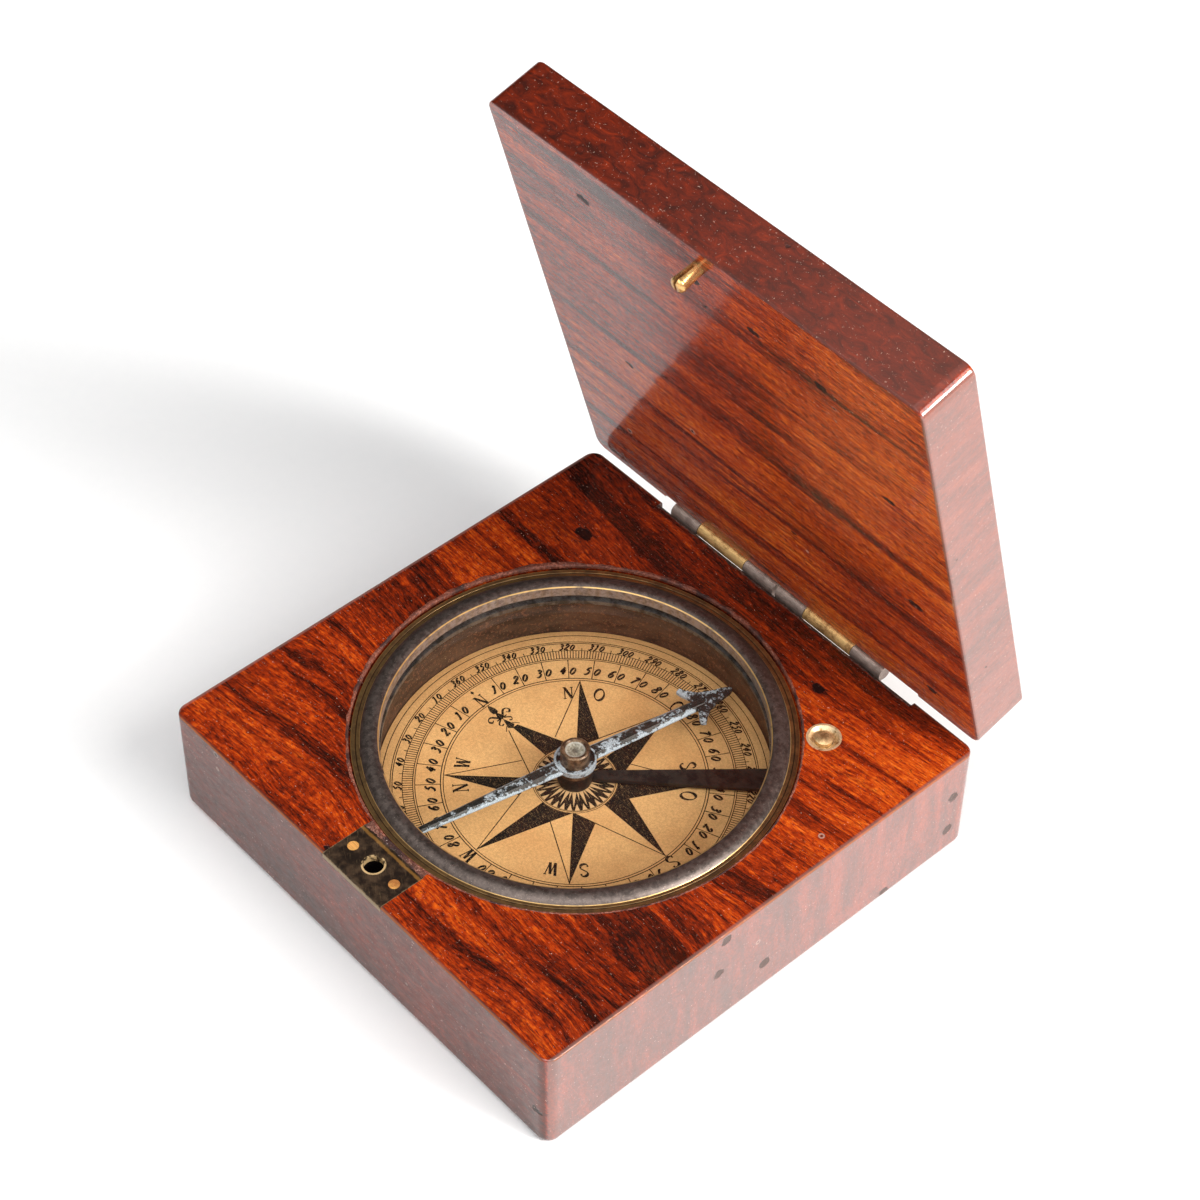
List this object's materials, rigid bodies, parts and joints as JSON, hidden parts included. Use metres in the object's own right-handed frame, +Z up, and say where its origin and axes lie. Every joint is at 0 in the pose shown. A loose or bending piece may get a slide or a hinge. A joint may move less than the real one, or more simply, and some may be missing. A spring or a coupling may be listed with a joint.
{
  "type": "pocket compass in hinged wooden case",
  "caption": "Square hardwood pocket case with a hinged lid, holding a glazed brass compass with a paper dial, a swinging arrow needle and a lid-pressed needle lifter.",
  "frame": {"origin": "centre of the base's flat underside, where it rests on a table", "axes": "+X along the hinge, to the side with the lock pin; +Y from the latch edge to the hinge edge; +Z up. Stored with the lid standing open 75 degrees from shut, leaning over the dial"},
  "size_m": [0.084, 0.0933, 0.1043],
  "materials": {
    "hardwood": "old hand polish over dark red-brown striped hardwood",
    "aged_brass": "worn, dull golden brown",
    "bright_brass": "rubbed bright",
    "bronzed_brass": "dark brown-grey patina, rubbed at its edges",
    "dark_plate": "near-black patina with bright worn edges",
    "copper_pin": "red-gold, filed flush",
    "tinned_ring": "dull grey",
    "cover_glass": "clear, polished",
    "dial_paper": "aged tan paper with engraved black print",
    "pasteboard": "plain",
    "blued_steel": "blued, mottled with pale grey oxide",
    "spring_steel": "plain",
    "agate": "polished, cloudy"
  },
  "bodies": {
    "base": {"base_block": "hardwood", "left_hinge_base_leaf": "aged_brass", "left_hinge_pin": "aged_brass", "right_hinge_base_leaf": "aged_brass", "right_hinge_pin": "aged_brass", "base_leaf_nails": "bright_brass", "latch_plate": "dark_plate", "latch_plate_pins": "copper_pin", "compass_bowl": "aged_brass", "bezel_ring": "bronzed_brass", "glass_disc": "cover_glass", "glass_seat_ring": "tinned_ring", "card_board": "pasteboard", "dial_card": "dial_paper", "pivot_boss": "bronzed_brass", "pivot_point": "spring_steel", "lifter_fulcrum_pin": "spring_steel", "lifter_spring": "spring_steel", "lock_pin_bush": "bright_brass"},
    "lid": {"lid_panel": "hardwood", "catch_peg": "bright_brass", "left_hinge_lid_leaf": "bright_brass", "right_hinge_lid_leaf": "bright_brass", "lid_leaf_nails": "bright_brass"},
    "lifter": {"lifter_lever": "bronzed_brass"},
    "lock_plunger": {"lock_pin": "bright_brass"},
    "needle_carrier": {"needle_cap": "aged_brass", "cap_jewel": "agate"},
    "compass_needle": {"needle": "blued_steel"}
  },
  "joints": [
    {"name": "lid_hinge", "type": "hinge", "parent": "base", "child": "lid", "pos_m": [0, 0.0424, 0.02055], "axis": [-1, 0, 0], "range_deg": [-75, 105]},
    {"name": "lock_pin_press", "type": "slide", "parent": "base", "child": "lock_plunger", "axis": [0, 0, -1], "range_m": [0, 0.000188]},
    {"name": "lifter_tilt", "type": "hinge", "parent": "base", "child": "lifter", "pos_m": [0.02124, 0.02252, 0.01005], "axis": [-0.7278, 0.6858, 0], "range_deg": [0, 1.8], "stiffness_Nm_per_rad": 0.02, "springref_deg": -1.72, "deforming": ["lifter_spring"]},
    {"name": "needle_lift", "type": "slide", "parent": "base", "child": "needle_carrier", "axis": [0, 0, 1], "range_m": [0, 0.00097]},
    {"name": "needle_swing", "type": "hinge", "parent": "needle_carrier", "child": "compass_needle", "pos_m": [0.00025, 0.00025, 0.0138], "axis": [0, 0, 1], "continuous": true}
  ],
  "couplings": [
    {"joint": "lifter_tilt", "follows": "lock_pin_press", "rad_per_m": 166.67},
    {"joint": "needle_lift", "follows": "lock_pin_press", "ratio": 5.1}
  ]
}
